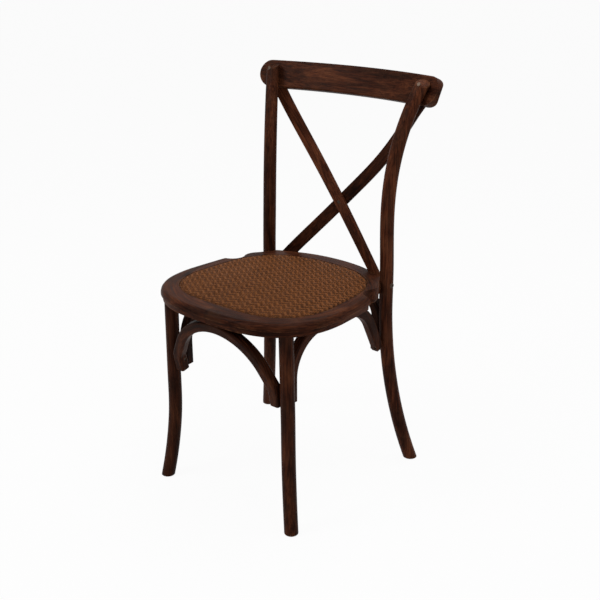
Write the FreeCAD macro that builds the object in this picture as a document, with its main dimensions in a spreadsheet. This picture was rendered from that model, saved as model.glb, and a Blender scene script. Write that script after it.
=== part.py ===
import FreeCAD, Part
import math
import os
from FreeCAD import Placement, Rotation, Vector

# Cross back dining chair, millimetres. +Z is up and the floor is z = 0.
# The front faces -Y and +X is to the right of a viewer in front of the chair.
# Plan positions are given from the seat's centre. The seat's centre is then moved back
# or forth so that the origin lies under the middle of the chair's depth.

SIZES = {
    # seat frame
    "seat_height": 461.0,          # top of the rim at the seat's centre
    "seat_tilt": 2.1,              # degrees, down towards the back
    "seat_back_reach": 238.8,
    "seat_front_reach": 218.5,
    "seat_half_width": 211.0,
    "seat_egg": 5.5,               # third cosine term of the outline
    "seat_square": 10.0,           # fourth cosine term of the outline
    "lip_height": 14.0,
    "apron_height": 12.6,
    "apron_inset": 4.3,
    "keel_height": 5.0,
    "keel_setback": 15.0,
    "ring_width": 72.0,
    "lip_round": 11.0,
    # woven field
    "field_half_width": 179.5,
    "field_front_reach": 174.0,
    "field_back_reach": 197.0,
    "panel_thickness": 6.0,
    "cane_thickness": 1.6,
    "cane_crown": 4.5,
    "fit_gap": 0.3,
    # rear corner of the seat
    "notch_round": 30.0,
    "notch_across": 203.0,
    "notch_back": 92.0,
    "shoulder_across": 178.0,
    "shoulder_tip_across": 180.5,
    "shoulder_tip_back": 125.0,
    "shoulder_end_across": 172.0,
    "shoulder_end_back": 145.0,
    "shoulder_root_across": 158.0,
    "shoulder_root_back": 168.0,
    "shoulder_reach": 9.0,         # swell of the outline in front of each post
    "shoulder_spread": 9.0,        # degrees
    # front legs
    "front_leg_radius": 14.9,
    "front_waist_height": 220.0,
    "front_waist_across": 160.2,
    "front_waist_forward": 154.5,
    "front_splay_across": 20.8,
    "front_splay_forward": 17.4,
    "front_splay_power": 1.8,
    "front_lean_height": 240.0,
    "front_lean_across": 0.02,
    "tenon_radius": 10.0,
    "tenon_length": 16.0,
    # back posts
    "post_radius": 15.2,
    "post_knee_height": 425.0,
    "post_across": 166.2,
    "post_back": 184.0,
    "post_foot_splay_across": 52.8,
    "post_foot_splay_back": 51.0,
    "post_foot_power": 2.1,
    "post_bend_height": 550.0,
    "post_lean_height": 460.0,
    "post_lean_across": 0.03,
    "post_lean_back": 0.01,
    "post_top_height": 872.0,
    "post_top_splay_across": 44.9,
    "post_top_splay_back": 63.3,
    "post_top_power": 2.4,
    "post_chamfer": 1.6,
    # crest rail
    "rail_height": 62.5,
    "rail_thickness": 19.0,
    "rail_half_length": 235.0,
    "rail_middle_height": 856.8,
    "rail_tilt": 22.5,
    "rail_bow": 26.0,
    "rail_back_corner": 14.0,
    "rail_round": 4.0,
    "rail_housing": 1.5,
    # cross slats
    "slat_width": 28.5,
    "slat_thickness": 9.0,
    "slat_bow_share": 1.6,         # turn of the faces against the rail's own bow
    "slat_round": 3.0,
    "slat_gap": 0.2,
    "slat_foot_height": 415.0,
    "slat_tenon": 9.0,
    "slat_cross_height": 588.8,
    # braces
    "brace_depth": 23.0,
    "brace_width": 21.5,
    "brace_round": 5.0,
    "brace_foot_height": 280.0,
    "brace_contact_height": 310.0,
    "arch_radius": 126.5,
    "rear_bend": 52.0,
    "arch_flank": 28.0,            # degrees from upright
    "arch_knee_bend": 30.0,
    "front_brace_forward": 160.5,
    "front_brace_crown_forward": 185.0,
    "side_brace_inward": 13.5,
    "side_front_bend": 90.0,
    "side_back_bend": 95.0,
    "side_back_flank": 27.0,       # degrees from upright
    "side_brace_foot_back": 175.0,
    "side_back_foot_height": 295.0,
    # fasteners
    "bolt_radius": 3.0,
    "bolt_head_radius": 6.5,
    "bolt_head_height": 4.0,
    "bolt_length": 58.0,
    "bolt_height": 443.0,
    "bolt_flat": 1.7,
    "nut_radius": 5.0,
    "nut_length": 14.0,
    "screw_radius": 2.0,
    "screw_head_radius": 4.0,
    "leg_screw_length": 34.0,
    "leg_screw_height": 305.0,
    "leg_screw_shift": 4.0,
    "seat_screw_length": 34.0,
    "seat_screw_spread": 25.0,
    "screw_recess": 1.5,
    "slat_screw_length": 17.0,
    "slat_end_screw_length": 30.0,
    "rail_screw_length": 34.0,
    "rail_screw_height": 866.0,
    "panel_screw_length": 16.0,
    "bore_gap": 0.1,
    "glide_radius": 10.0,
    "glide_height": 2.5,
    "glide_pin_radius": 1.5,
    "glide_pin_length": 12.0,
}

doc = FreeCAD.newDocument("cross_back_chair")
sheet = doc.addObject("Spreadsheet::Sheet", "Sizes")
for row, (alias, value) in enumerate(SIZES.items(), start=1):
    sheet.set("A%d" % row, alias)
    sheet.set("B%d" % row, str(value))
    sheet.setAlias("B%d" % row, alias)
doc.recompute()


def size(alias):
    return float(sheet.get(alias))


NODES = []
AWAY = 400.0                       # reach of cutting tools past the wood
ALONG_X = Vector(1, 0, 0)
ALONG_Y = Vector(0, 1, 0)
UP = Vector(0, 0, 1)
SIDES = (("left", -1), ("right", 1))


# Shared places

def power_bend(amount, fraction, power):
    return amount * max(0.0, fraction) ** power


def post_point(height):
    """Centre of the right post at a height, from the seat's centre."""
    low = 1 - height / size("post_knee_height")
    rise = size("post_top_height") - size("post_bend_height")
    high = (height - size("post_bend_height")) / rise
    lean = max(0.0, height - size("post_lean_height"))
    x = size("post_across") - size("post_lean_across") * lean
    x += power_bend(size("post_foot_splay_across"), low, size("post_foot_power"))
    x += power_bend(size("post_top_splay_across"), high, size("post_top_power"))
    y = size("post_back") - size("post_lean_back") * lean
    y += power_bend(size("post_foot_splay_back"), low, size("post_foot_power"))
    y += power_bend(size("post_top_splay_back"), high, size("post_top_power"))
    return Vector(x, y, height)


def front_leg_point(height):
    """Centre of the right front leg at a height, from the seat's centre."""
    low = 1 - height / size("front_waist_height")
    power = size("front_splay_power")
    lean = max(0.0, height - size("front_lean_height"))
    x = size("front_waist_across") - size("front_lean_across") * lean
    x += power_bend(size("front_splay_across"), low, power)
    y = size("front_waist_forward") + power_bend(size("front_splay_forward"), low, power)
    return Vector(x, -y, height)


rail_tilt = math.radians(size("rail_tilt"))
rail_post = post_point(size("rail_middle_height"))
rail_radius = (rail_post.x ** 2 + size("rail_bow") ** 2) / (2 * size("rail_bow"))
rail_front = (rail_post.y + (size("post_radius") - size("rail_housing")) / math.cos(rail_tilt)
              + size("rail_bow"))
chair_back = (rail_front + size("rail_height") / 2 * math.sin(rail_tilt)
              + size("rail_thickness") * math.cos(rail_tilt) - size("rail_round") / 4)
centre_shift = Vector(0, (size("seat_front_reach") - chair_back) / 2, 0)
seat_place = Placement(Vector(0, centre_shift.y, size("seat_height")),
                       Rotation(ALONG_X, -size("seat_tilt")))
seat_depth = size("lip_height") + size("apron_height")
keel_depth = seat_depth + size("keel_height")
rebate_depth = size("panel_thickness") + size("cane_thickness")


def seat_underside(y, depth):
    """Height of the seat's underside at a distance behind the seat's centre."""
    slope = math.radians(size("seat_tilt"))
    return size("seat_height") - y * math.tan(slope) - depth / math.cos(slope)


def egg_points(back, front, half_width, inset, shoulder=0.0, count=44):
    """Seat outline: radius as a short cosine series of the angle from the back."""
    shoulder_turn = math.atan2(size("post_across"), size("post_back"))
    third = size("seat_egg")
    fourth = -size("seat_square")
    first = (back - front) / 2 - third
    second = ((back + front) / 2 - half_width) / 2
    base = half_width + second - fourth
    points = []
    for step in range(count):
        turn = 2 * math.pi * step / count
        radius = base + first * math.cos(turn) + second * math.cos(2 * turn)
        radius += third * math.cos(3 * turn) + fourth * math.cos(4 * turn) - inset
        away = (min(turn, 2 * math.pi - turn) - shoulder_turn) / math.radians(size("shoulder_spread"))
        radius += shoulder * math.exp(-away * away)
        points.append(Vector(radius * math.sin(turn), radius * math.cos(turn), 0))
    return points


def seat_points(inset):
    return egg_points(size("seat_back_reach"), size("seat_front_reach"),
                      size("seat_half_width"), inset, size("shoulder_reach"))


def hollow_points():
    return egg_points(size("seat_back_reach"), size("seat_front_reach"),
                      size("seat_half_width"), size("ring_width"))


def field_points(inset):
    return egg_points(size("field_back_reach"), size("field_front_reach"),
                      size("field_half_width"), inset)


def closed_curve(points):
    """Arcs through every three points of a closed outline."""
    arcs = []
    for index in range(0, len(points), 2):
        last = points[(index + 2) % len(points)]
        arcs.append(Part.Arc(points[index], points[index + 1], last))
    return arcs


# Helpers for solids

def mirrored(shape):
    return shape.mirror(Vector(0, 0, 0), ALONG_X)


def add_piece(label, shape, place=None):
    """A sub-part whose shape comes from the sheet's sizes."""
    piece = doc.addObject("Part::Feature", label)
    piece.Shape = shape
    piece.Placement = place or Placement(centre_shift, Rotation())
    piece.Label = label
    NODES.append(piece)
    return piece


def swept(points, section, binormal=ALONG_Y):
    """A solid with one closed section along a smooth line through points."""
    curve = Part.BSplineCurve()
    curve.interpolate(Points=points)
    start = curve.value(curve.FirstParameter)
    ahead = curve.tangent(curve.FirstParameter)[0]
    shell = Part.BRepOffsetAPI.MakePipeShell(Part.Wire([curve.toShape()]))
    shell.setBiNormalMode(binormal)
    shell.add(section(start, ahead))
    shell.build()
    shell.makeSolid()
    return shell.shape()


def round_section(radius):
    def section(start, ahead):
        return Part.Wire([Part.Circle(start, ahead, radius).toShape()])
    return section


def rounded_bar_section(width, thickness, corner):
    """A flat bar's section, its thickness along Y and its width across the path."""
    def section(start, ahead, facing=ALONG_Y):
        across = facing.cross(ahead).normalize()
        through = ahead.cross(across).normalize()
        half_w = width / 2
        half_t = thickness / 2

        def place(w, t):
            return start + across * w + through * t

        edges = []
        for w, t, turn in ((1, 1, 0), (-1, 1, 1), (-1, -1, 0), (1, -1, 1)):
            first = place(w * half_w, t * (half_t - corner))
            last = place(w * (half_w - corner), t * half_t)
            bulge = corner * (1 - math.sqrt(0.5))
            middle = place(w * (half_w - bulge), t * (half_t - bulge))
            if turn:
                first, last = last, first
            edges.append(Part.Arc(first, middle, last))
        wire = []
        for index, arc in enumerate(edges):
            wire.append(arc.toShape())
            following = edges[(index + 1) % len(edges)]
            wire.append(Part.LineSegment(arc.EndPoint, following.StartPoint).toShape())
        return Part.Wire(wire)
    return section


def below(height):
    """Everything under a level plane, as a cutting tool."""
    return Part.makeBox(2 * AWAY, 2 * AWAY, AWAY, Vector(-AWAY, -AWAY, height - AWAY))


def above_seat_depth(depth):
    """Everything above a plane that lies a depth under the seat's top face."""
    box = Part.makeBox(2 * AWAY, 2 * AWAY, AWAY, Vector(-AWAY, -AWAY, -depth))
    place = Placement(seat_place)
    place.Base = seat_place.Base - centre_shift
    box.Placement = place
    return box


def screw(length, gap=0.0):
    """A countersunk screw along -Z with its head's top at the origin."""
    head = size("screw_head_radius") + gap
    shank = size("screw_radius") + gap
    cone_depth = head - shank
    cone = Part.makeCone(shank, head, cone_depth, Vector(0, 0, -cone_depth))
    stem = Part.makeCylinder(shank, length - cone_depth + gap, Vector(0, 0, -length - gap))
    return cone.fuse(stem).removeSplitter()


def screw_tool(length, recess):
    """The bore for a screw, open above its head."""
    gap = size("bore_gap")
    mouth = Part.makeCylinder(size("screw_head_radius") + gap, recess)
    return screw(length, gap).fuse(mouth)


def aimed(shape, point, direction):
    """A shape modelled along -Z, turned to point along a direction."""
    moved = shape.copy()
    moved.Placement = Placement(point, Rotation(Vector(0, 0, -1), direction))
    return moved


# Screw places: head centre and direction, for the right half of the chair

front_contact = front_leg_point(size("brace_contact_height"))
post_contact = post_point(size("brace_contact_height"))
half_depth = size("brace_depth") / 2
front_knee = front_contact.x - size("front_leg_radius") - half_depth - size("slat_gap")
back_knee = post_contact.x - size("post_radius") - half_depth - size("slat_gap")
side_front_foot = Vector(front_contact.x - size("side_brace_inward"),
                         front_contact.y + size("front_leg_radius") + half_depth, 0)
side_back_foot = Vector(post_contact.x - size("side_brace_inward") + 4,
                        size("side_brace_foot_back"), 0)


def knee_screw(knee, y, toward):
    inner = knee - half_depth + size("screw_recess")
    return Vector(inner, y + toward * size("leg_screw_shift"), size("leg_screw_height")), ALONG_X


def bent_bar_edges(points, bends, half):
    """Outline of a bar of even depth that follows straight runs and tangent bends."""
    sides = []
    for side in (1, -1):
        edges = []
        start = None
        for index in range(len(points) - 1):
            first = points[index]
            last = points[index + 1]
            ahead = (last - first).normalize()
            off = Vector(-ahead.y, ahead.x, 0) * (side * half)
            if start is None:
                start = first + off
            if index == len(points) - 2:
                edges.append(Part.LineSegment(start, last + off))
                break
            after = (points[index + 2] - last).normalize()
            turn = ahead.getAngle(after)
            hand = 1 if ahead.cross(after).z > 0 else -1
            reach = bends[index] * math.tan(turn / 2)
            inward = Vector(-ahead.y, ahead.x, 0) * hand
            centre = last - ahead * reach + inward * bends[index]
            radius = bends[index] - hand * side * half
            out_first = inward * -radius
            out_last = Vector(-after.y, after.x, 0) * (-hand * radius)
            out_middle = (out_first + out_last).normalize() * radius
            edges.append(Part.LineSegment(start, centre + out_first))
            edges.append(Part.Arc(centre + out_first, centre + out_middle, centre + out_last))
            start = centre + out_last
        sides.append(edges)
    left, right = sides
    caps = [Part.LineSegment(left[0].StartPoint, right[0].StartPoint),
            Part.LineSegment(left[-1].EndPoint, right[-1].EndPoint)]
    return left + right + caps


# Helpers for bodies made of sketches

def plane_of(body, role):
    for feature in body.Origin.OriginFeatures:
        if feature.Role == role:
            return feature
    raise ValueError(role)


def add_sketch(body, name, geometry, role="XY_Plane", level=0.0):
    sketch = body.newObject("Sketcher::SketchObject", name)
    sketch.AttachmentSupport = [(plane_of(body, role), "")]
    sketch.MapMode = "FlatFace"
    sketch.AttachmentOffset = Placement(Vector(0, 0, level), Rotation())
    sketch.addGeometry(geometry, False)
    return sketch


def add_pad(body, name, sketch, length, down=False, both_ways=False):
    pad = body.newObject("PartDesign::Pad", name)
    pad.Profile = sketch
    pad.setExpression("Length", length)
    pad.Reversed = down
    if both_ways:
        pad.SideType = "Symmetric"
    body.Tip = pad
    doc.recompute()
    return pad


def add_pocket(body, name, sketch, length=None, up=False):
    """A pocket that must take material away."""
    before = body.Shape.Volume
    pocket = body.newObject("PartDesign::Pocket", name)
    pocket.Profile = sketch
    pocket.Reversed = up
    if length is None:
        pocket.Type = "ThroughAll"
        pocket.SideType = "Symmetric"
    else:
        pocket.setExpression("Length", length)
    body.Tip = pocket
    doc.recompute()
    if body.Shape.Volume >= before:
        raise ValueError(name + " cuts nothing")
    return pocket


def add_fillet(body, name, base, radius, wanted):
    """A fillet on the edges of the base that the wanted test picks."""
    names = []
    for number, edge in enumerate(base.Shape.Edges, start=1):
        if wanted(edge):
            names.append("Edge%d" % number)
    fillet = body.newObject("PartDesign::Fillet", name)
    fillet.Base = (base, names)
    fillet.setExpression("Radius", radius)
    body.Tip = fillet
    doc.recompute()
    return fillet


def cut_piece(label, body, tools):
    """The body less its bores, seats and copes, as the finished sub-part."""
    body.Label = label + "_blank"
    tool = doc.addObject("Part::Feature", label + "_tools")
    tool.Shape = tools[0].fuse(tools[1:]) if len(tools) > 1 else tools[0]
    cut = doc.addObject("Part::Cut", label)
    cut.Base = body
    cut.Tool = tool
    cut.Label = label
    doc.recompute()
    NODES.append(cut)
    return cut


def shifted(shapes):
    moved = []
    for shape in shapes:
        copy = shape.copy()
        copy.translate(centre_shift)
        moved.append(copy)
    return moved


# Round legs and posts

def heights(low, high, count):
    return [low + (high - low) * step / (count - 1) for step in range(count)]


def post_rod(radius):
    levels = heights(-20.0, size("post_top_height"), 12)
    rod = swept([post_point(level) for level in levels], round_section(radius))
    return rod


def front_rod(radius, top):
    levels = heights(-20.0, top, 8)
    return swept([front_leg_point(level) for level in levels], round_section(radius))


fit = size("fit_gap")
leg_top = front_leg_point(seat_underside(-size("front_waist_forward"), seat_depth))
leg_axis = seat_place.Rotation.multVec(UP)
front_wood = front_rod(size("front_leg_radius"), leg_top.z + 15)
front_wood = front_wood.cut(above_seat_depth(seat_depth))
tenon = Part.makeCylinder(size("tenon_radius"), size("tenon_length") + 1, leg_top - leg_axis,
                          leg_axis)
front_wood = front_wood.fuse(tenon).cut(below(size("glide_height")))

post_wood = post_rod(size("post_radius"))
top_edges = [edge for edge in post_wood.Edges
             if edge.BoundBox.ZMin > size("post_top_height") - size("post_radius")
             and edge.isClosed()]
post_wood = post_wood.makeChamfer(size("post_chamfer"), top_edges)
post_wood = post_wood.cut(below(size("glide_height")))
post_space = post_rod(size("post_radius") + size("slat_gap") / 2)
front_space = front_rod(size("front_leg_radius") + size("slat_gap") / 2, leg_top.z + 15)

# Bolts through the posts and their cross dowels

bolt_seat = Vector(size("post_across") + size("post_radius") - size("bolt_flat"),
                   size("post_back"), size("bolt_height"))
nut_centre = bolt_seat - ALONG_X * (size("bolt_length") - size("nut_radius") - 2)


def bolt_shape(gap):
    shank = Part.makeCylinder(size("bolt_radius") + gap, size("bolt_length") + gap,
                              Vector(0, 0, -size("bolt_length") - gap))
    head = Part.makeCylinder(size("bolt_head_radius") + gap, size("bolt_head_height") + gap * 20)
    return shank, head


bolt_shank, bolt_head = bolt_shape(0.0)
dome_radius = (size("bolt_head_radius") ** 2 / size("bolt_head_height")
               + size("bolt_head_height")) / 2
dome = Part.makeSphere(dome_radius + 0.6, Vector(0, 0, size("bolt_head_height") - dome_radius
                                                 - 0.6))
socket = Part.makePolygon([Vector(2.3 * math.cos(math.radians(60 * turn)),
                                  2.3 * math.sin(math.radians(60 * turn)), 1.2)
                           for turn in range(7)])
socket = Part.Face(socket).extrude(Vector(0, 0, size("bolt_head_height")))
bolt = bolt_shank.fuse(bolt_head.common(dome)).cut(socket)
wide_shank, wide_head = bolt_shape(size("bore_gap"))
bolt_tool = aimed(wide_shank.fuse(wide_head), bolt_seat, -ALONG_X)
bolt = aimed(bolt, bolt_seat, -ALONG_X)
nut_bottom = nut_centre - UP * (size("nut_length") / 2)
nut = Part.makeCylinder(size("nut_radius"), size("nut_length"), nut_bottom)
nut = nut.cut(bolt_tool)
nut_tool = Part.makeCylinder(size("nut_radius") + size("bore_gap"),
                             size("nut_length") + AWAY / 10 + size("bore_gap"),
                             nut_bottom - UP * (AWAY / 10))

# Crest rail, bowed in plan, tilted back with the posts

rail_place = Placement(Vector(0, rail_front, size("rail_middle_height")),
                       Rotation(ALONG_X, -size("rail_tilt")))


def rail_section():
    """The board's section at the middle of the rail, with its long edges rounded."""
    half = size("rail_height") / 2
    corner = size("rail_round")
    thickness = size("rail_thickness")
    bulge = corner * (1 - math.sqrt(0.5))
    edges = []
    for up, deep in ((-1, 0), (-1, 1), (1, 1), (1, 0)):
        face = thickness * deep
        inward = 1 - 2 * deep
        along_face = Vector(0, face, up * (half - corner))
        along_edge = Vector(0, face + inward * corner, up * half)
        middle = Vector(0, face + inward * bulge, up * (half - bulge))
        ends = (along_face, along_edge) if (up < 0) == (deep == 0) else (along_edge, along_face)
        edges.append(Part.Arc(ends[0], middle, ends[1]))
    wire = []
    for index, arc in enumerate(edges):
        wire.append(arc.toShape())
        following = edges[(index + 1) % 4]
        wire.append(Part.LineSegment(arc.EndPoint, following.StartPoint).toShape())
    face = Part.Face(Part.Wire(wire))
    face.Placement = rail_place
    return face


def rail_end_cut():
    """What is cut off beyond the right end: round in front view, eased at the back."""
    half = size("rail_height") / 2
    corner = size("rail_back_corner")
    thickness = size("rail_thickness")
    turn = math.asin((size("rail_half_length") - half) / rail_radius)
    beyond = Part.makeBox(AWAY, AWAY, AWAY, Vector(0, -AWAY / 2, -AWAY / 2))
    disc = Part.makeCylinder(half, AWAY, Vector(0, -AWAY / 2, 0), ALONG_Y)
    back = Part.makeBox(corner * 2, AWAY, AWAY, Vector(half - corner, thickness - corner,
                                                       -AWAY / 2))
    ease = Part.makeCylinder(corner, AWAY, Vector(half - corner, thickness - corner,
                                                  -AWAY / 2), UP)
    cut = beyond.cut(disc).fuse(back.cut(ease))
    cut.Placement = Placement(
        Vector(rail_radius * math.sin(turn),
               rail_front - rail_radius + rail_radius * math.cos(turn),
               size("rail_middle_height")),
        Rotation(UP, -math.degrees(turn)).multiply(rail_place.Rotation))
    return cut


def crest_blank():
    """The tilted section swung about a level arc, so the rail is bowed in plan."""
    turn = math.degrees(math.asin(size("rail_half_length") / rail_radius)) + 1
    axis = Vector(0, rail_front - rail_radius, 0)
    section = rail_section()
    section.rotate(axis, UP, turn)
    band = section.revolve(axis, UP, -2 * turn)
    end_cut = rail_end_cut()
    return band.cut([end_cut, mirrored(end_cut)])


# Cross slats: stations of the front slat's centre line, across, back and up

rail_under_height = (size("rail_middle_height") - size("rail_height") / 2 * math.cos(rail_tilt)
                     - size("rail_thickness") / 2 * math.sin(rail_tilt))
SLAT_SECTIONS = 9
slat_lap = (size("slat_thickness") + size("slat_gap")) / 2
SLAT_STATIONS = [
    Vector(-162.6, 199.1, 400.0),
    Vector(-132.3, 204.8, 440.0),
    Vector(-52.7, 227.6, 530.0),
    Vector(27.6, 247.9, 620.0),
    Vector(104.7, 259.2, 710.0),
    Vector(161.4, 255.3, 790.0),
    Vector(205.1, 258.0, 850.0),
]


def slat_path(hand):
    """The slat that rises to a side; the one that rises to the left is a lap in front."""
    path = []
    low = SLAT_STATIONS[0].z
    high = SLAT_STATIONS[-1].z
    for station in SLAT_STATIONS:
        along = (station.z - low) / (high - low)
        lap = slat_lap * math.sin(math.pi * along) ** 0.5 if 0 < along < 1 else 0.0
        path.append(Vector(hand * station.x, station.y + hand * lap, station.z))
    return path


def slat_wood(hand, gap=0.0):
    section = rounded_bar_section(size("slat_width") + 2 * gap,
                                  size("slat_thickness") + 2 * gap, size("slat_round"))
    curve = Part.BSplineCurve()
    curve.interpolate(Points=slat_path(hand))
    wires = []
    for step in range(SLAT_SECTIONS):
        share = step / (SLAT_SECTIONS - 1)
        at = curve.FirstParameter + share * (curve.LastParameter - curve.FirstParameter)
        start = curve.value(at)
        bow = math.asin(start.x / rail_radius * size("slat_bow_share"))
        facing = Vector(math.sin(bow), math.cos(bow), 0)
        wires.append(section(start, curve.tangent(at)[0], facing))
    bar = Part.makeLoft(wires, True, False)
    top = rail_under_height + size("slat_tenon") + gap
    bar = bar.common(Part.makeBox(2 * AWAY, 2 * AWAY, top - size("slat_foot_height") + gap,
                                  Vector(-AWAY, -AWAY, size("slat_foot_height") - gap)))
    return bar


slats = {hand: slat_wood(hand) for hand in (1, -1)}
slat_space = {hand: slat_wood(hand, size("slat_gap") / 2) for hand in (1, -1)}

rail_screw_axis = Vector(0, math.cos(rail_tilt), -math.sin(rail_tilt))
rail_screw_centre = post_point(size("rail_screw_height"))
rail_screw_head = rail_screw_centre - rail_screw_axis * (size("post_radius")
                                                         - size("screw_recess"))
slat_screw_head = Vector(0, 0, size("slat_cross_height"))
slat_screw_line = Part.makeLine(slat_screw_head, slat_screw_head + ALONG_Y * AWAY)
slat_screw_head.y = min(end.Y for end in slats[-1].common(slat_screw_line).Vertexes)
slat_end_head = Vector(slat_path(-1)[1].x + 8.0, slat_path(-1)[1].y
                       + size("slat_thickness") / 2, SLAT_STATIONS[1].z - 6.0)
slat_end_screw = aimed(screw(size("slat_end_screw_length")), slat_end_head, -ALONG_Y)
slat_end_tool = aimed(screw_tool(size("slat_end_screw_length"), 8.0), slat_end_head, -ALONG_Y)
rail_screw = aimed(screw(size("rail_screw_length")), rail_screw_head, rail_screw_axis)
rail_screw_tool = aimed(screw_tool(size("rail_screw_length"), 4.0), rail_screw_head,
                        rail_screw_axis)
slat_cross = aimed(screw(size("slat_screw_length")), slat_screw_head, ALONG_Y)
slat_cross_tool = aimed(screw_tool(size("slat_screw_length"), 2.0), slat_screw_head, ALONG_Y)

crest = crest_blank()
for shape in (post_space, mirrored(post_space), rail_screw_tool, mirrored(rail_screw_tool),
              slat_space[1], slat_space[-1]):
    crest = crest.cut(shape)

# Braces

def brace_body(label, points, bends, place):
    body = doc.addObject("PartDesign::Body", label + "_body")
    sketch = add_sketch(body, label + "_line", bent_bar_edges(points, bends, half_depth),
                        "XZ_Plane")
    pad = add_pad(body, label + "_bar", sketch, "Sizes.brace_width", both_ways=True)
    half = size("brace_width") / 2

    def long_edge(edge):
        box = edge.BoundBox
        flat = box.YLength < 0.01 and abs(abs(box.YMin) - half) < 0.01
        return flat and box.ZMax > size("brace_foot_height") + 0.5

    add_fillet(body, label + "_rounds", pad, "Sizes.brace_round", long_edge)
    body.Placement = place
    doc.recompute()
    return body


def arch_points(knee, crown, bend):
    """Five corners of an even arch: feet, knees and the flanks' meeting point."""
    flank = math.radians(size("arch_flank"))
    apex = crown - half_depth + bend * (1 / math.sin(flank) - 1)
    knee_height = apex - knee / math.tan(flank)
    foot = size("brace_foot_height")
    return [Vector(knee, foot, 0), Vector(knee, knee_height, 0), Vector(0, apex, 0),
            Vector(-knee, knee_height, 0), Vector(-knee, foot, 0)]


front_lean = math.atan2(size("front_brace_crown_forward") - size("front_brace_forward"),
                        seat_underside(0, keel_depth) - size("brace_contact_height"))
front_crown = seat_underside(-size("front_brace_crown_forward"), keel_depth) - fit
back_crown_y = post_contact.y + 2.0
back_crown = seat_underside(back_crown_y + size("brace_width") / 2, keel_depth) - fit
foot_height = size("brace_foot_height")
front_pivot = Vector(0, -size("front_brace_forward"), size("brace_contact_height"))
lean_turn = Rotation(ALONG_X, math.degrees(front_lean))
front_place = Placement(front_pivot + centre_shift - lean_turn.multVec(
    Vector(0, 0, size("brace_contact_height"))), lean_turn)
crown_in_plane = (size("brace_contact_height")
                  + (front_crown - size("brace_contact_height")) / math.cos(front_lean)
                  - size("brace_width") / 2 * math.tan(front_lean))
knee_bend = size("arch_knee_bend")
front_bend = size("arch_radius")
front_brace = brace_body("brace_front", arch_points(front_knee, crown_in_plane, front_bend),
                         [knee_bend, front_bend, knee_bend], front_place)
rear_place = Placement(Vector(0, back_crown_y, 0) + centre_shift, Rotation())
rear_crown = back_crown - half_depth
rear_points = [Vector(back_knee, foot_height, 0), Vector(back_knee, rear_crown, 0),
               Vector(-back_knee, rear_crown, 0), Vector(-back_knee, foot_height, 0)]
rear_brace = brace_body("brace_rear", rear_points, [size("rear_bend")] * 2, rear_place)

# The side brace's own plane runs from the front leg to the post

side_run = side_back_foot - side_front_foot
side_length = side_run.Length
side_ahead = Vector(side_run.x, side_run.y, 0).normalize()
side_turn = math.degrees(math.atan2(side_ahead.y, side_ahead.x))
side_flank = math.radians(size("side_back_flank"))
side_foot_rise = size("side_back_foot_height") - foot_height
side_slope = math.tan(math.radians(size("seat_tilt"))) * side_ahead.y
side_crown = seat_underside(side_front_foot.y, keel_depth) - fit - half_depth
side_apex_run = ((side_length - (side_crown - foot_height) * math.tan(side_flank))
                 / (1 - side_slope * math.tan(side_flank)))
side_points = [Vector(0, foot_height, 0),
               Vector(0, side_crown, 0),
               Vector(side_apex_run, side_crown - side_slope * side_apex_run, 0),
               Vector(side_length - side_foot_rise * math.tan(side_flank),
                      foot_height + side_foot_rise, 0)]
side_bends = [size("side_front_bend"), size("side_back_bend")]
side_braces = {}
for side, hand in SIDES:
    start = Vector(hand * side_front_foot.x, side_front_foot.y, 0) + centre_shift
    turn = side_turn if hand > 0 else 180 - side_turn
    side_braces[side] = brace_body("brace_" + side, side_points, side_bends,
                                   Placement(start, Rotation(UP, turn)))

# Screws through the brace ends into the legs, right half

recess = size("screw_recess")
back_normal = Vector(side_ahead.x * math.cos(side_flank), side_ahead.y * math.cos(side_flank),
                     math.sin(side_flank))
rise = size("leg_screw_height") - foot_height
back_screw_middle = (side_back_foot - side_ahead * (rise * math.tan(side_flank))
                     + UP * size("leg_screw_height") + ALONG_X * size("leg_screw_shift"))
leg_screw_places = [
    knee_screw(front_knee, -size("front_brace_forward"), 1),
    knee_screw(back_knee, back_crown_y, 0),
    (Vector(side_front_foot.x + size("leg_screw_shift"),
            side_front_foot.y + half_depth - recess, size("leg_screw_height")), -ALONG_Y),
    (back_screw_middle - back_normal * (half_depth - recess), back_normal),
]
leg_screws = []
leg_tools = []
for head, direction in leg_screw_places:
    leg_screws.append(aimed(screw(size("leg_screw_length")), head, direction))
    leg_tools.append(aimed(screw_tool(size("leg_screw_length"), 6.0), head, direction))
leg_screws += [mirrored(shape) for shape in leg_screws]
left_leg_tools = [mirrored(shape) for shape in leg_tools]

# Screws up through the brace crowns into the seat frame

crown_drop = size("brace_depth") - recess
spread = size("seat_screw_spread")
seat_screw_heads = []
arch_sag = ((size("arch_radius") - half_depth)
            - math.sqrt((size("arch_radius") - half_depth) ** 2 - spread ** 2))
for hand in (-1, 1):
    seat_screw_heads.append(Vector(hand * spread, -size("front_brace_crown_forward"),
                                   front_crown - crown_drop - arch_sag))
    seat_screw_heads.append(Vector(hand * spread, back_crown_y,
                                   back_crown - crown_drop))
    for step in (-1, 1):
        run = side_length / 2 + step * spread - 6
        place = side_front_foot + side_ahead * run
        height = seat_underside(place.y, keel_depth) - fit - crown_drop
        seat_screw_heads.append(Vector(hand * place.x, place.y, height))
seat_screws = [aimed(screw(size("seat_screw_length")), head, UP) for head in seat_screw_heads]
seat_tools = [aimed(screw_tool(size("seat_screw_length"), 12.0), head, UP)
              for head in seat_screw_heads]

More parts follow.
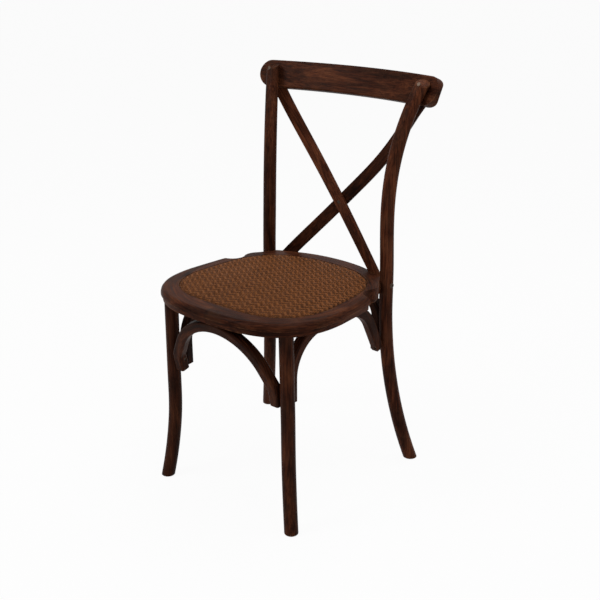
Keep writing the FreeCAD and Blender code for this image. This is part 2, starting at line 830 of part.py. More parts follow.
front_tools = [front_space, mirrored(front_space)]
post_tools = [post_space, mirrored(post_space)]
cut_piece("brace_front", front_brace,
          shifted(front_tools + leg_tools[:1] + left_leg_tools[:1] + seat_tools))
cut_piece("brace_rear", rear_brace,
          shifted(post_tools + leg_tools[1:2] + left_leg_tools[1:2] + seat_tools))
cut_piece("brace_right", side_braces["right"],
          shifted([front_space, post_space] + leg_tools[2:] + seat_tools))
cut_piece("brace_left", side_braces["left"],
          shifted(front_tools[1:] + post_tools[1:] + left_leg_tools[2:] + seat_tools))

# Seat frame: lip, apron and keel, hollow under the panel

seat = doc.addObject("PartDesign::Body", "seat_body")
LIP_STEPS = (0, 20, 40, 62, 90)    # degrees round the lip's quarter circle, from the top


def lip_level(turn):
    """Inset and depth of the rounded lip at an angle from its top."""
    angle = math.radians(turn)
    return (size("lip_round") * (1 - math.sin(angle)),
            size("lip_round") * (1 - math.cos(angle)))


for number, (upper, lower) in enumerate(zip(LIP_STEPS, LIP_STEPS[1:]), start=1):
    rings = []
    for turn in (upper, lower):
        inset, depth = lip_level(turn)
        rings.append(add_sketch(seat, "round_%d_%d" % (number, turn),
                                closed_curve(seat_points(inset)), level=-depth))
    band = seat.newObject("PartDesign::AdditiveLoft", "lip_round_%d" % number)
    band.Profile = rings[0]
    band.Sections = [rings[1]]
    band.Ruled = True
    seat.Tip = band
    doc.recompute()
lip_sketch = add_sketch(seat, "lip_outline", closed_curve(seat_points(0)),
                        level=-size("lip_round"))
add_pad(seat, "lip", lip_sketch, "Sizes.lip_height - Sizes.lip_round", down=True)
apron_sketch = add_sketch(seat, "apron_outline", closed_curve(seat_points(size("apron_inset"))),
                          level=-size("lip_height"))
add_pad(seat, "apron", apron_sketch, "Sizes.apron_height", down=True)
keel_sketch = add_sketch(seat, "keel_outline", closed_curve(seat_points(size("keel_setback"))),
                         level=-seat_depth)
add_pad(seat, "keel", keel_sketch, "Sizes.keel_height", down=True)


rebate_sketch = add_sketch(seat, "rebate_outline", closed_curve(field_points(0)))
add_pocket(seat, "rebate", rebate_sketch, "Sizes.panel_thickness + Sizes.cane_thickness")
hollow_sketch = add_sketch(seat, "hollow_outline", closed_curve(hollow_points()))
add_pocket(seat, "hollow", hollow_sketch)


def corner_lines(hand):
    """The rear corner that is cut away: a round notch, then straight back past the post."""
    bend = size("notch_round")
    across = size("notch_across")
    back = size("notch_back")
    inner = size("shoulder_across")
    outer = size("seat_half_width") + bend

    def place(x, y):
        return Vector(hand * x, y, 0)

    far = size("post_back") + bend
    first = place(across, back - bend)
    last = place(inner, back + math.sqrt(bend ** 2 - (across - inner) ** 2))
    tip = place(size("shoulder_tip_across"), size("shoulder_tip_back"))
    end = place(size("shoulder_end_across"), size("shoulder_end_back"))
    root = place(size("shoulder_root_across"), size("shoulder_root_back"))
    post = place(size("post_across"), size("post_back"))
    behind = place(size("shoulder_end_across"), far - bend / 2)
    corners = [end, root, post, behind, place(size("shoulder_end_across"), far),
               place(outer, far), place(outer, back - bend), first]
    lines = [Part.Arc(first, place(across - bend, back), last), Part.Arc(last, tip, end)]
    for start, finish in zip(corners, corners[1:]):
        lines.append(Part.LineSegment(start, finish))
    return lines


for side, hand in SIDES:
    corner = add_sketch(seat, "corner_" + side, corner_lines(hand))
    add_pocket(seat, "corner_cut_" + side, corner)
seat.Placement = seat_place
doc.recompute()

socket_tool = Part.makeCylinder(size("tenon_radius") + size("bore_gap"),
                                size("tenon_length") + 10 + fit, leg_top - leg_axis * 10,
                                leg_axis)
leg_counterbore = Part.makeCylinder(size("front_leg_radius") + fit, 20, leg_top - leg_axis * 20,
                                    leg_axis)
panel_screw_reach = size("field_half_width") - 12.0
panel_screw_angle = math.radians(45)
panel_screws = []
panel_tools = []
panel_screw_level = -size("cane_thickness")
for across in (-1, 1):
    for back in (-1, 1):
        head = Vector(across * panel_screw_reach * math.sin(panel_screw_angle),
                      back * panel_screw_reach * math.cos(panel_screw_angle), panel_screw_level)
        panel_screws.append(aimed(screw(size("panel_screw_length")), head, -UP))
        panel_tools.append(aimed(screw_tool(size("panel_screw_length"), 1.0), head, -UP))
for shape in panel_tools:
    shape.Placement = seat_place.multiply(shape.Placement)

seat_cutters = [socket_tool, leg_counterbore, bolt_tool, nut_tool, post_space, slat_end_tool]
seat_cutters += [mirrored(shape) for shape in seat_cutters]
seat_cutters += [slat_space[1], slat_space[-1]] + seat_tools
cut_piece("seat_frame", seat, shifted(seat_cutters) + panel_tools)

# Panel and cane

panel = doc.addObject("PartDesign::Body", "panel_body")
panel_sketch = add_sketch(panel, "panel_outline", closed_curve(field_points(fit)),
                          level=-rebate_depth)
add_pad(panel, "board", panel_sketch, "Sizes.panel_thickness")
panel.Placement = seat_place
doc.recompute()
cut_piece("seat_panel", panel, panel_tools)

cane_base = Part.Face(Part.Wire([arc.toShape() for arc in closed_curve(field_points(fit))]))
cane_block = cane_base.extrude(UP * (size("cane_crown") + size("cane_thickness") * 2))
cane_block.translate(UP * -size("cane_thickness"))
crown_radius = (size("field_half_width") ** 2 + size("cane_crown") ** 2) / 2 / size("cane_crown")
crown_ball = Part.makeSphere(crown_radius, Vector(0, (size("field_back_reach")
                                                     - size("field_front_reach")) / 2,
                                                  size("cane_crown") - crown_radius))
cane = cane_block.common(crown_ball)
add_piece("rattan_skin", cane, seat_place)

# Glides

glide = Part.makeCylinder(size("glide_radius"), size("glide_height"))
glide = glide.makeFillet(size("glide_height") / 4, [glide.Edges[2]])
glide = glide.fuse(Part.makeCylinder(size("glide_pin_radius"),
                                     size("glide_height") + size("glide_pin_length")))
glide_tool = Part.makeCylinder(size("glide_pin_radius") + size("bore_gap"),
                               size("glide_height") + size("glide_pin_length") + fit)
glides = []
glide_tools = []
for foot in (front_leg_point(0), post_point(0)):
    for hand in (-1, 1):
        for source, target in ((glide, glides), (glide_tool, glide_tools)):
            copy = source.copy()
            copy.translate(Vector(hand * foot.x, foot.y, 0))
            target.append(copy)

# Wood with its bores

front_cut = front_wood.cut([leg_tools[0], leg_tools[2]] + glide_tools)
post_cut = post_wood.cut([leg_tools[1], leg_tools[3], bolt_tool, rail_screw_tool] + glide_tools)
for side, hand in SIDES:
    add_piece("front_leg_" + side, front_cut if hand > 0 else mirrored(front_cut))
    add_piece("back_post_" + side, post_cut if hand > 0 else mirrored(post_cut))
add_piece("crest_rail", crest)
slat_tools = [slat_cross_tool, slat_end_tool, mirrored(slat_end_tool)]
add_piece("cross_slat_front", slats[-1].cut(slat_tools + post_tools))
add_piece("cross_slat_rear", slats[1].cut(slat_tools + post_tools))
add_piece("post_bolts", Part.makeCompound([bolt, mirrored(bolt)]))
add_piece("post_bolt_nuts", Part.makeCompound([nut, mirrored(nut)]))
add_piece("brace_leg_screws", Part.makeCompound(leg_screws))
add_piece("brace_seat_screws", Part.makeCompound(seat_screws))
add_piece("slat_cross_screw", Part.makeCompound([slat_cross]))
add_piece("slat_end_screws", Part.makeCompound([slat_end_screw, mirrored(slat_end_screw)]))
add_piece("rail_screws", Part.makeCompound([rail_screw, mirrored(rail_screw)]))
add_piece("seat_panel_screws", Part.makeCompound(panel_screws), seat_place)
add_piece("foot_glides", Part.makeCompound(glides))

# Checks, then one file for each sub-part

doc.recompute()
for item in doc.Objects:
    if "Invalid" in item.State or "Error" in item.State:
        raise ValueError(item.Label + " failed: " + str(item.State))
for node in NODES:
    if node.Shape.isNull() or not node.Shape.isValid():
        raise ValueError(node.Label + " has no valid shape")
    print(node.Label, "solids", len(node.Shape.Solids), "volume", round(node.Shape.Volume))
os.makedirs("parts", exist_ok=True)
for node in NODES:
    node.Shape.exportStep(os.path.join("parts", node.Label + ".step"))
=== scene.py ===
import math
import random

import bpy
import numpy as np
from mathutils import Matrix, Vector


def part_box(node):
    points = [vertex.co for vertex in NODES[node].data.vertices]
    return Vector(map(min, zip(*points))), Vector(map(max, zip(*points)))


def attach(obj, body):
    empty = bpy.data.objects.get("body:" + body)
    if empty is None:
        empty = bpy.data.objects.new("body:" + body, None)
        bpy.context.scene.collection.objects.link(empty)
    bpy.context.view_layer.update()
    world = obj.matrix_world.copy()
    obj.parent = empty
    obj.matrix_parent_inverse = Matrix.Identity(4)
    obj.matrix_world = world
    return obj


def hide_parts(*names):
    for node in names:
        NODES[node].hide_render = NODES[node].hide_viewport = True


# Cross back chair, metres. +Z is up, the front faces -Y, the floor is z = 0.
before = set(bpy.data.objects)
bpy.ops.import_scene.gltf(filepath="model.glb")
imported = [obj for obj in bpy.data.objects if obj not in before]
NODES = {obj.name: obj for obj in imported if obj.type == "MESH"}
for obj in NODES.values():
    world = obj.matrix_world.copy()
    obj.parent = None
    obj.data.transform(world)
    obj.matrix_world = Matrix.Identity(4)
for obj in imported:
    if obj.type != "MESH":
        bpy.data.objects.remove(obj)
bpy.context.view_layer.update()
random.seed(7)

# Camera, from the photograph's perspective. The angles are in radians.
CAMERA_PLACE = Vector((1.1489, -1.4278, 1.1533))
CAMERA_YAW = 0.66219
CAMERA_PITCH = -0.38585
CAMERA_LENS = 54.07                # mm
CAMERA_SENSOR = 36.0               # mm
CAMERA_REACH = 100.0

# Seat, in its own tilted frame: the origin is on the rim's top at the seat's centre
SEAT_TILT = math.radians(2.1)
SEAT_TOP = 0.461
SEAT_FRONT = 0.2185
FIELD_HALF_WIDTH = 0.1795
FIELD_FRONT = 0.174
FIELD_BACK = 0.197
OUTLINE_EGG = 0.0055               # third cosine term of the outline
OUTLINE_SQUARE = 0.010             # fourth cosine term of the outline
CROWN = 0.0045
ROLL_START = 0.93                  # share of the radius where the field rolls down
ROLL_WIDTH = 0.07
ROLL_DEPTH = 0.0022
SEAT_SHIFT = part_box("seat_frame")[0].y + SEAT_FRONT * math.cos(SEAT_TILT)
SEAT_MATRIX = (Matrix.Translation((0, SEAT_SHIFT, SEAT_TOP))
               @ Matrix.Rotation(-SEAT_TILT, 4, "X"))

# Weave: canes that run across the seat and canes that run front to back
CANE_PITCH = 0.0038
CANE_WIDTH = 0.0033
CANE_THICKNESS = 0.0010
CANE_LIFT = 0.0007
CANE_INSET = 0.0006                # the canes' ends stay this far inside the outline
CANE_SECTION = ((-0.5, 0.0), (-0.28, 0.5), (0.28, 0.5), (0.5, 0.0), (0.0, -0.5))
WEAVE_REACH = 0.21                 # canes are laid out over a square this far each way
OUTLINE_PROBES = 1200              # points at which a cane's line is held to the outline
FEWEST_PROBES = 12                 # a cane with fewer points inside is left out
FLOAT_LENGTH = 2                   # canes that a cane passes over, and then under
HERRINGBONE = 3                    # canes between two turns of the zigzag
CELL_SLACK = 1e-6                  # keeps a place at a crossing from falling beside it
CROSS_SHADE = 0.35                 # shade of the front to back canes against the others
EDGE_SHADE = 0.035                 # share of the radius over which the canes darken into painted shade towards the rim's groove
VARIED_SHADE = 0.30                # part of a cane's shade that differs cane by cane; the rest is painted light and shade, paler over its neighbours and darker under them
CANE_DARK = (0.014, 0.005, 0.002)
CANE_PALE = (0.215, 0.076, 0.024)

# Backing: a dark sheet between the canes and the board, painted shade in the gaps between the
# canes
BACKING_RINGS = 14
BACKING_STEPS = 96
BACKING_INSET = 0.0008
BACKING_DROP = 0.0009              # its top lies this far under the canes' middle
BACKING_BASE = -0.0015
BACKING_EDGE = 0.0004              # its least thickness, at the outline

# Stained wood
WOOD_STOPS = ((0.36, (0.0085, 0.0023, 0.0013)), (0.46, (0.027, 0.0075, 0.0036)),
              (0.55, (0.060, 0.0170, 0.0075)), (0.68, (0.122, 0.039, 0.0160)))
WOOD_PORE = (0.004, 0.002, 0.0015, 1)
# pale edge colour: partly rubbed wear, partly painted highlight
WOOD_RUBBED_AND_SHEEN = (0.16, 0.068, 0.031, 1)
WOOD_FADED = (0.095, 0.040, 0.020, 1)
BROAD_SCALE = (42, 42, 7)          # noise cells per metre: across, across, along the grain
STREAK_SCALE = (330, 330, 11)
FIBRE_SCALE = (1500, 1500, 38)
PORE_SCALE = (950, 950, 60)
BLOTCH_SCALE = 26.0
EDGE_RADIUS = 0.0035
RING_TURN = 0.2                    # metres of grain for a radian round the seat
ARCH_TURN = 0.12                   # metres of grain for a radian round a brace
SEED_STEP = 1.3                    # moves the figure from one piece to the next

# Softened edges of the wooden pieces
WELD_GAP = 0.00002
SOFT_EDGE_ANGLE = math.radians(40)

# Stage
FLOOR_HALF = 30.0
FLOOR_GREY = (0.80, 0.80, 0.80, 1)
FLOOR_WHITE_SHARE = 0.95           # the rest takes the light and the chair's shadow
SOFT_LIGHT = 0.30
WHITE = (1, 1, 1, 1)
SKY_SHADE = (0.80, 0.80, 0.80, 1)  # pale grey, seen in reflections and over the far floor


# Node helpers

class Nodes:
    """A node tree with short calls for what the materials and the world here need."""

    def __init__(self, owner, output="ShaderNodeOutputMaterial"):
        owner.use_nodes = True
        self.owner = owner
        self.tree = owner.node_tree
        self.tree.nodes.clear()
        self.output = self.add(output)

    def add(self, kind, **settings):
        node = self.tree.nodes.new(kind)
        for key, value in settings.items():
            setattr(node, key, value)
        return node

    def link(self, source, target):
        self.tree.links.new(source, target)

    def feed(self, socket, value):
        if isinstance(value, bpy.types.NodeSocket):
            self.link(value, socket)
        else:
            socket.default_value = value

    def math(self, operation, first, second):
        node = self.add("ShaderNodeMath", operation=operation)
        self.feed(node.inputs[0], first)
        self.feed(node.inputs[1], second)
        return node.outputs[0]

    def times(self, first, second):
        return self.math("MULTIPLY", first, second)

    def plus(self, first, second):
        return self.math("ADD", first, second)

    def length(self, first, second):
        square = self.plus(self.times(first, first), self.times(second, second))
        return self.math("POWER", square, 0.5)

    def split(self, vector):
        node = self.add("ShaderNodeSeparateXYZ")
        self.link(vector, node.inputs[0])
        return node.outputs

    def join(self, *parts):
        node = self.add("ShaderNodeCombineXYZ")
        for socket, part in zip(node.inputs, parts):
            self.link(part, socket)
        return node.outputs[0]

    def vector_math(self, operation, first, second):
        node = self.add("ShaderNodeVectorMath", operation=operation)
        self.feed(node.inputs[0], first)
        self.feed(node.inputs[1], second)
        return node.outputs

    def ramp(self, value, stops):
        node = self.add("ShaderNodeValToRGB")
        self.link(value, node.inputs[0])
        elements = node.color_ramp.elements
        while len(elements) < len(stops):
            elements.new(0.5)
        for element, (place, colour) in zip(elements, stops):
            element.position = place
            element.color = (*colour, 1.0)
        return node.outputs[0]

    def level(self, value, low, high, out_low=0.0, out_high=1.0):
        node = self.add("ShaderNodeMapRange")
        self.link(value, node.inputs[0])
        for index, number in enumerate((low, high, out_low, out_high), start=1):
            node.inputs[index].default_value = number
        return node.outputs[0]

    def mix(self, amount, first, second):
        node = self.add("ShaderNodeMix", data_type="RGBA")
        self.feed(node.inputs[0], amount)
        self.feed(node.inputs[6], first)
        self.feed(node.inputs[7], second)
        return node.outputs[2]

    def mix_shader(self, amount, first, second):
        node = self.add("ShaderNodeMixShader")
        self.link(amount, node.inputs[0])
        self.link(first.outputs[0], node.inputs[1])
        self.link(second.outputs[0], node.inputs[2])
        return node.outputs[0]

    def noise(self, vector, scale, detail, rough=0.55, distort=0.0):
        node = self.add("ShaderNodeTexNoise")
        self.link(vector, node.inputs["Vector"])
        node.inputs["Scale"].default_value = scale
        node.inputs["Detail"].default_value = detail
        node.inputs["Roughness"].default_value = rough
        node.inputs["Distortion"].default_value = distort
        return node.outputs[0]

    def grain_noise(self, space, scale, detail, rough=0.55, distort=0.0):
        stretched = self.vector_math("MULTIPLY", space, scale)[0]
        return self.noise(stretched, 1.0, detail, rough, distort)

    def bump(self, height, strength, distance):
        node = self.add("ShaderNodeBump")
        node.inputs["Strength"].default_value = strength
        node.inputs["Distance"].default_value = distance
        self.link(height, node.inputs["Height"])
        return node.outputs[0]

    def place(self):
        return self.add("ShaderNodeTexCoord").outputs["Object"]

    def background_rays(self):
        """One for the rays that show the background: camera, glossy and transmission."""
        rays = self.add("ShaderNodeLightPath").outputs
        mirrored = self.math("MAXIMUM", rays["Is Glossy Ray"], rays["Is Transmission Ray"])
        return self.math("MAXIMUM", rays["Is Camera Ray"], mirrored)

    def shader(self, colour, roughness, normal, **numbers):
        node = self.add("ShaderNodeBsdfPrincipled")
        self.link(colour, node.inputs["Base Color"])
        self.feed(node.inputs["Roughness"], roughness)
        self.link(normal, node.inputs["Normal"])
        for key, value in numbers.items():
            node.inputs[key.replace("_", " ")].default_value = value
        self.link(node.outputs[0], self.output.inputs[0])
        return self.owner


def material_nodes(name):
    return Nodes(bpy.data.materials.new(name))


# Materials

def grain_space(nodes, grain):
    """Coordinates whose Z runs along the wood's fibres.

    grain is "Z", ("turn", rotation), ("ring", the ring's centre in y) or
    ("arch", axis the arch spans, its centre on that axis, its centre's height).
    """
    place = nodes.place()
    kind = grain[0]
    if kind == "Z":
        return place
    if kind == "turn":
        mapping = nodes.add("ShaderNodeMapping")
        nodes.link(place, mapping.inputs[0])
        mapping.inputs["Rotation"].default_value = grain[1]
        return mapping.outputs[0]
    parts = nodes.split(place)
    if kind == "ring":
        back = nodes.math("SUBTRACT", parts[1], grain[1])
        turn = nodes.math("ARCTAN2", parts[0], back)
        return nodes.join(nodes.length(parts[0], back), parts[2], nodes.times(turn, RING_TURN))
    across, centre, height = grain[1:]
    run = nodes.math("SUBTRACT", parts[across], centre)
    rise = nodes.math("SUBTRACT", parts[2], height)
    turn = nodes.math("ARCTAN2", rise, run)
    return nodes.join(nodes.length(run, rise), parts[1 - across], nodes.times(turn, ARCH_TURN))


def edge_wear_and_sheen(nodes):
    """Near one where a rounded normal leaves the face's own normal, so at the edges."""
    rounded = nodes.add("ShaderNodeBevel", samples=6)
    rounded.inputs["Radius"].default_value = EDGE_RADIUS
    flat = nodes.add("ShaderNodeNewGeometry")
    likeness = nodes.vector_math("DOT_PRODUCT", rounded.outputs[0], flat.outputs["Normal"])
    return nodes.level(likeness["Value"], 0.995, 0.90)


def stained_wood(name, grain, tone, wear_and_sheen, seed):
    """Dark stained, rubbed wood: fibre streaks, cloudy stain, open pores, and paler edges that
    are partly rubbed wear and partly painted highlight.
    """
    nodes = material_nodes(name)
    offset = (seed, seed * 0.7, seed * 1.3)
    space = nodes.vector_math("ADD", grain_space(nodes, grain), offset)[0]
    broad = nodes.grain_noise(space, BROAD_SCALE, 3.0, 0.6, 0.6)
    streak = nodes.grain_noise(space, STREAK_SCALE, 4.0, 0.62)
    fibre = nodes.grain_noise(space, FIBRE_SCALE, 2.0, 0.5)
    pores = nodes.level(nodes.grain_noise(space, PORE_SCALE, 1.0), 0.60, 0.70)
    blotches = nodes.level(nodes.noise(space, BLOTCH_SCALE, 5.0, 0.68), 0.44, 0.66)

    figure = nodes.plus(nodes.times(broad, 0.55), nodes.times(streak, 0.45))
    stops = [(place, tuple(tone * part for part in colour)) for place, colour in WOOD_STOPS]
    colour = nodes.ramp(figure, stops)
    colour = nodes.mix(nodes.times(pores, 0.6), colour, WOOD_PORE)
    # Paler edges in blotches: partly rubbed wear, partly painted highlight standing in for the
    # sheen.
    rub_and_sheen = nodes.times(nodes.times(edge_wear_and_sheen(nodes), blotches), 0.75 * wear_and_sheen)
    colour = nodes.mix(rub_and_sheen, colour, WOOD_RUBBED_AND_SHEEN)
    colour = nodes.mix(nodes.times(blotches, 0.16 * wear_and_sheen), colour, WOOD_FADED)

    roughness = nodes.level(streak, 0.3, 0.75, 0.36, 0.50)
    raised = nodes.plus(nodes.times(streak, 0.6), nodes.times(fibre, 0.4))
    relief = nodes.math("SUBTRACT", raised, nodes.times(pores, 0.5))
    normal = nodes.bump(relief, 0.32, 0.0006)
    return nodes.shader(colour, roughness, normal, Specular_IOR_Level=0.03)


def rattan_material(name):
    """Cane with painted light and shade from its tone attribute: paler where it passes over
    its neighbours, darker where it dives under them and towards the rim, and darker in uneven
    patches.
    """
    nodes = material_nodes(name)
    place = nodes.place()
    shade = nodes.add("ShaderNodeAttribute", attribute_name="tone").outputs["Fac"]
    patch = nodes.noise(place, 22.0, 3.0, 0.7)
    fleck = nodes.noise(place, 240.0, 3.0, 0.7)
    blend = nodes.plus(nodes.times(shade, 0.62),
                       nodes.plus(nodes.times(patch, 0.20), nodes.times(fleck, 0.30)))
    middle = tuple(0.45 * low + 0.55 * high for low, high in zip(CANE_DARK, CANE_PALE))
    colour = nodes.ramp(blend, [(0.20, CANE_DARK), (0.48, middle), (0.75, CANE_PALE)])
    normal = nodes.bump(fleck, 0.35, 0.0003)
    return nodes.shader(colour, 0.50, normal, Specular_IOR_Level=0.05)


def plain_material(name, low, high, scale, roughness, metallic=0.0):
    """Steel, nylon, board, or the dark sheet of painted shade under the canes: a cloudy colour
    with a fine uneven surface.
    """
    nodes = material_nodes(name)
    place = nodes.place()
    cloud = nodes.noise(place, scale, 4.0, 0.6)
    colour = nodes.ramp(cloud, [(0.35, low), (0.65, high)])
    rough = nodes.level(nodes.noise(place, scale * 3, 2.0), 0.3, 0.7,
                        roughness * 0.8, roughness * 1.2)
    normal = nodes.bump(cloud, 0.1, 0.0003)
    return nodes.shader(colour, rough, normal, Metallic=metallic)


# Mesh helpers

def new_piece(name, vertices, faces, material, smooth=True):
    mesh = bpy.data.meshes.new(name)
    mesh.from_pydata([tuple(v) for v in vertices], [], [tuple(f) for f in faces])
    mesh.polygons.foreach_set("use_smooth", [smooth] * len(mesh.polygons))
    mesh.update()
    piece = bpy.data.objects.new(name, mesh)
    bpy.context.collection.objects.link(piece)
    mesh.materials.append(material)
    return piece


def field_radius(turn, inset=0.0):
    """The woven field's outline, the same cosine series as the panel's."""
    first = (FIELD_BACK - FIELD_FRONT) / 2 - OUTLINE_EGG
    second = ((FIELD_BACK + FIELD_FRONT) / 2 - FIELD_HALF_WIDTH) / 2
    base = FIELD_HALF_WIDTH + second + OUTLINE_SQUARE
    return (base + first * np.cos(turn) + second * np.cos(2 * turn)
            + OUTLINE_EGG * np.cos(3 * turn) - OUTLINE_SQUARE * np.cos(4 * turn) - inset)


def radius_share(x, y):
    return np.hypot(x, y) / field_radius(np.arctan2(x, y))


def crown_height(x, y):
    """Height of the crowned field over the rim, rolled down where it meets the groove."""
    share = radius_share(x, y)
    dome = CROWN * (1 - share ** 2)
    roll = ROLL_DEPTH * np.clip((share - ROLL_START) / ROLL_WIDTH, 0, 1) ** 2
    return float(dome - roll)


# Woven cane

def passes_over(line, crossing):
    """1 where a cane across the seat lies on top of a crossing cane, and -1 under it."""
    zigzag = abs((crossing % (2 * HERRINGBONE)) - HERRINGBONE)
    return 1.0 if (line + zigzag) % (2 * FLOAT_LENGTH) < FLOAT_LENGTH else -1.0


def cane_stops(offset, lengthwise):
    """Places along a cane, at every crossing and halfway between, or None off the field."""
    steps = np.linspace(-WEAVE_REACH, WEAVE_REACH, OUTLINE_PROBES)
    turn = np.arctan2(offset, steps) if lengthwise else np.arctan2(steps, offset)
    inside = np.hypot(steps, offset) < field_radius(turn, CANE_INSET)
    if inside.sum() < FEWEST_PROBES:
        return None
    low, high = steps[inside][0], steps[inside][-1]
    half = CANE_PITCH / 2
    between = range(math.ceil(low / half), math.floor(high / half) + 1)
    return [low] + [half * k for k in between] + [high]


def cane_waves(line, stop, lengthwise):
    """Over or under at the crossings on both sides of a place along a cane."""
    cell = stop / CANE_PITCH
    sides = (math.floor(cell + CELL_SLACK), math.ceil(cell - CELL_SLACK))
    if lengthwise:
        return [-passes_over(side, line) for side in sides]
    return [passes_over(line, side) for side in sides]


def cane_faces(start, rows, lengthwise):
    """The skin of one cane and its two closed ends."""
    size = len(CANE_SECTION)
    faces = []
    for row in range(rows - 1):
        for k in range(size):
            a = start + row * size + k
            b = start + row * size + (k + 1) % size
            faces.append((a, b, b + size, a + size))
    faces.append(tuple(start + k for k in reversed(range(size))))
    faces.append(tuple(start + (rows - 1) * size + k for k in range(size)))
    if lengthwise:
        faces = [face[::-1] for face in faces]
    return faces


def weave_strands():
    """Every cane of a two by two herringbone, as lens-shaped strips over and under."""
    count = int(WEAVE_REACH / CANE_PITCH)
    vertices = []
    faces = []
    shades = []
    for lengthwise in (False, True):
        for line in np.arange(-count, count + 1):
            offset = line * CANE_PITCH
            stops = cane_stops(offset, lengthwise)
            if stops is None:
                continue
            own_shade = random.random()
            start = len(vertices)
            for stop in stops:
                waves = cane_waves(line, stop, lengthwise)
                x, y = (offset, stop) if lengthwise else (stop, offset)
                height = crown_height(x, y) + CANE_LIFT * sum(waves) / 2
                # Painted light and shade: a cane is paler where it passes over its neighbours,
                # darker where it dives under them, and darkens towards the rim's groove.
                shade = min(1.0, float(1 - radius_share(x, y)) / EDGE_SHADE) * (
                    VARIED_SHADE * own_shade + (1 - VARIED_SHADE) * (0.5 + 0.25 * sum(waves)))
                if lengthwise:
                    shade *= CROSS_SHADE
                for across, up in CANE_SECTION:
                    side = across * CANE_WIDTH
                    top = height + up * CANE_THICKNESS
                    vertices.append((x + side, y, top) if lengthwise else (x, y + side, top))
                    shades.append(shade)
            faces += cane_faces(start, len(stops), lengthwise)
    return vertices, faces, shades


def make_weave():
    vertices, faces, shades = weave_strands()
    placed = [SEAT_MATRIX @ Vector(v) for v in vertices]
    weave = new_piece("rattan_weave", placed, faces, rattan_material("woven_rattan"))
    # the tone attribute carries each cane's own shade together with the painted light and
    # shade of its crossings and of the groove
    attribute = weave.data.attributes.new("tone", "FLOAT", "POINT")
    attribute.data.foreach_set("value", shades)
    return weave


def backing_layer(under):
    """Rings of points from the middle to the outline, on the sheet's top or underside."""
    points = []
    for ring in range(BACKING_RINGS + 1):
        share = ring / BACKING_RINGS
        for step in range(BACKING_STEPS):
            turn = 2 * math.pi * step / BACKING_STEPS
            radius = share * float(field_radius(turn, BACKING_INSET))
            x, y = radius * math.sin(turn), radius * math.cos(turn)
            height = crown_height(x, y) - BACKING_DROP
            if under and ring < BACKING_RINGS:
                height = BACKING_BASE
            elif under:
                height = min(height - BACKING_EDGE, BACKING_BASE)
            points.append(SEAT_MATRIX @ Vector((x, y, height)))
    return points


def make_backing():
    """The dark sheet between the canes and the board, painted shade in the gaps: a closed
    crowned sheet.
    """
    vertices = backing_layer(False) + backing_layer(True)
    layer = (BACKING_RINGS + 1) * BACKING_STEPS
    faces = []
    for ring in range(BACKING_RINGS + 1):
        for step in range(BACKING_STEPS):
            a = ring * BACKING_STEPS + step
            b = ring * BACKING_STEPS + (step + 1) % BACKING_STEPS
            if ring == BACKING_RINGS:
                faces.append((a, a + layer, b + layer, b))
                continue
            quad = (a, a + BACKING_STEPS, b + BACKING_STEPS, b)
            faces.append(quad)
            faces.append(tuple(index + layer for index in quad[::-1]))
    # near black: painted shade seen in the gaps between the canes
    gap_shade_sheet = plain_material("cane_gap_shade", (0.012, 0.006, 0.004), (0.030, 0.013, 0.007),
                           300, 0.9)
    return new_piece("cane_gap_shade", vertices, faces, gap_shade_sheet)


# Materials on the CAD nodes

def clothe(node, material, bevel=None):
    """Gives a node its material and, with a bevel, edges rounded by that much."""
    piece = NODES[node]
    piece.data.materials.clear()
    piece.data.materials.append(material)
    if bevel:
        weld = piece.modifiers.new("weld", "WELD")
        weld.merge_threshold = WELD_GAP
        rounding = piece.modifiers.new("rounding", "BEVEL")
        rounding.width = bevel
        rounding.segments = 3
        rounding.limit_method = "ANGLE"
        rounding.angle_limit = SOFT_EDGE_ANGLE
        piece.modifiers.new("even_normals", "WEIGHTED_NORMAL")


SLAT_SLANT = math.radians(39)
ALONG_X = ("turn", (0, math.radians(90), 0))
RISING_LEFT = ("turn", (0, SLAT_SLANT, 0))
RISING_RIGHT = ("turn", (0, -SLAT_SLANT, 0))
ARCH_CENTRE = 0.300
CROSS_ARCH = ("arch", 0, 0.0, ARCH_CENTRE)
SIDE_ARCH = ("arch", 1, SEAT_SHIFT, ARCH_CENTRE)
WOOD_PIECES = (                    # node, grain, tone, wear and painted edge highlight, bevel
    ("back_post_left", "Z", 0.95, 1.3, None),
    ("back_post_right", "Z", 1.45, 1.6, None),
    ("front_leg_left", "Z", 0.70, 0.8, None),
    ("front_leg_right", "Z", 0.85, 1.0, None),
    ("crest_rail", ALONG_X, 1.05, 1.2, 0.0022),
    ("cross_slat_front", RISING_LEFT, 1.50, 1.3, None),
    ("cross_slat_rear", RISING_RIGHT, 0.75, 0.6, None),
    ("seat_frame", ("ring", SEAT_SHIFT), 1.05, 1.5, 0.0012),
    ("brace_front", CROSS_ARCH, 0.75, 0.8, 0.0008),
    ("brace_rear", CROSS_ARCH, 0.70, 0.6, 0.0008),
    ("brace_left", SIDE_ARCH, 0.60, 0.6, 0.0008),
    ("brace_right", SIDE_ARCH, 0.85, 0.9, 0.0008))
for number, (name, grain, tone, wear_and_sheen, bevel) in enumerate(WOOD_PIECES, start=1):
    clothe(name, stained_wood("wood_" + name, grain, tone, wear_and_sheen, SEED_STEP * number), bevel)

clothe("seat_panel", plain_material("panel_wood", (0.020, 0.008, 0.004),
                                    (0.050, 0.021, 0.010), 60, 0.6))
clothe("foot_glides", plain_material("nylon", (0.020, 0.015, 0.012),
                                     (0.045, 0.036, 0.030), 200, 0.6))
steel = plain_material("screw_steel", (0.010, 0.006, 0.004), (0.085, 0.055, 0.038),
                       420, 0.42, 0.8)
for name in ("post_bolts", "post_bolt_nuts", "brace_leg_screws", "brace_seat_screws",
             "slat_cross_screw", "slat_end_screws", "rail_screws", "seat_panel_screws"):
    clothe(name, steel)

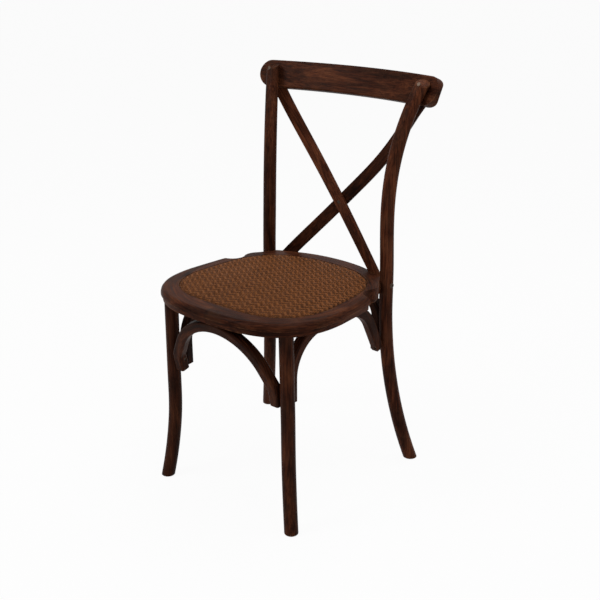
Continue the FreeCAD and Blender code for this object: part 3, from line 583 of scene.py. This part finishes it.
weave = make_weave()
backing = make_backing()
for piece in (weave, backing):
    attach(piece, "root")
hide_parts("rattan_skin")


# Stage: floor, world, lights and camera

def floor_material():
    """Pale floor that reads as white, and still takes the chair's faint shadow."""
    nodes = material_nodes("floor_paper")
    paper = nodes.add("ShaderNodeBsdfDiffuse")
    paper.inputs["Color"].default_value = FLOOR_GREY
    white = nodes.add("ShaderNodeEmission")
    white.inputs["Strength"].default_value = 1.0
    share = nodes.times(nodes.background_rays(), FLOOR_WHITE_SHARE)
    nodes.link(nodes.mix_shader(share, paper, white), nodes.output.inputs[0])
    return nodes.owner


def make_floor():
    corners = [(-FLOOR_HALF, -FLOOR_HALF, 0), (FLOOR_HALF, -FLOOR_HALF, 0),
               (FLOOR_HALF, FLOOR_HALF, 0), (-FLOOR_HALF, FLOOR_HALF, 0)]
    new_piece("floor", corners, [(0, 1, 2, 3)], floor_material(), False)


def make_world():
    """Soft even light, and a pale background for the rays that show it."""
    world = bpy.data.worlds.new("studio")
    bpy.context.scene.world = world
    nodes = Nodes(world, "ShaderNodeOutputWorld")
    soft = nodes.add("ShaderNodeBackground")
    soft.inputs["Color"].default_value = WHITE
    soft.inputs["Strength"].default_value = SOFT_LIGHT
    sky = nodes.add("ShaderNodeBackground")
    sky.inputs["Color"].default_value = SKY_SHADE
    sky.inputs["Strength"].default_value = 1.0
    mixed = nodes.mix_shader(nodes.background_rays(), soft, sky)
    nodes.link(mixed, nodes.output.inputs[0])


def place_object(name, data, location, direction):
    """Puts a lamp or a camera in the scene, looking along a direction."""
    holder = bpy.data.objects.new(name, data)
    bpy.context.collection.objects.link(holder)
    holder.location = location
    holder.rotation_euler = direction.to_track_quat("-Z", "Y").to_euler()
    return holder


def add_softbox(name, place, aim, width, power):
    lamp = bpy.data.lights.new(name, "AREA")
    lamp.size = width
    lamp.energy = power
    place_object(name, lamp, place, Vector(aim) - Vector(place))


def make_camera():
    lens = bpy.data.cameras.new("camera")
    lens.lens = CAMERA_LENS
    lens.sensor_width = CAMERA_SENSOR
    lens.clip_end = CAMERA_REACH
    forward = Vector((-math.sin(CAMERA_YAW) * math.cos(CAMERA_PITCH),
                      math.cos(CAMERA_YAW) * math.cos(CAMERA_PITCH),
                      math.sin(CAMERA_PITCH)))
    bpy.context.scene.camera = place_object("camera", lens, CAMERA_PLACE, forward)


make_floor()
make_world()
add_softbox("key", (-1.3, -2.2, 2.7), (0, 0, 0.5), 1.2, 42)
add_softbox("side", (2.6, -0.9, 1.7), (0, 0, 0.5), 1.0, 14)
add_softbox("top", (0.3, 0.5, 2.9), (0, 0, 0.4), 1.4, 26)
make_camera()
bpy.context.scene.view_settings.view_transform = "Standard"
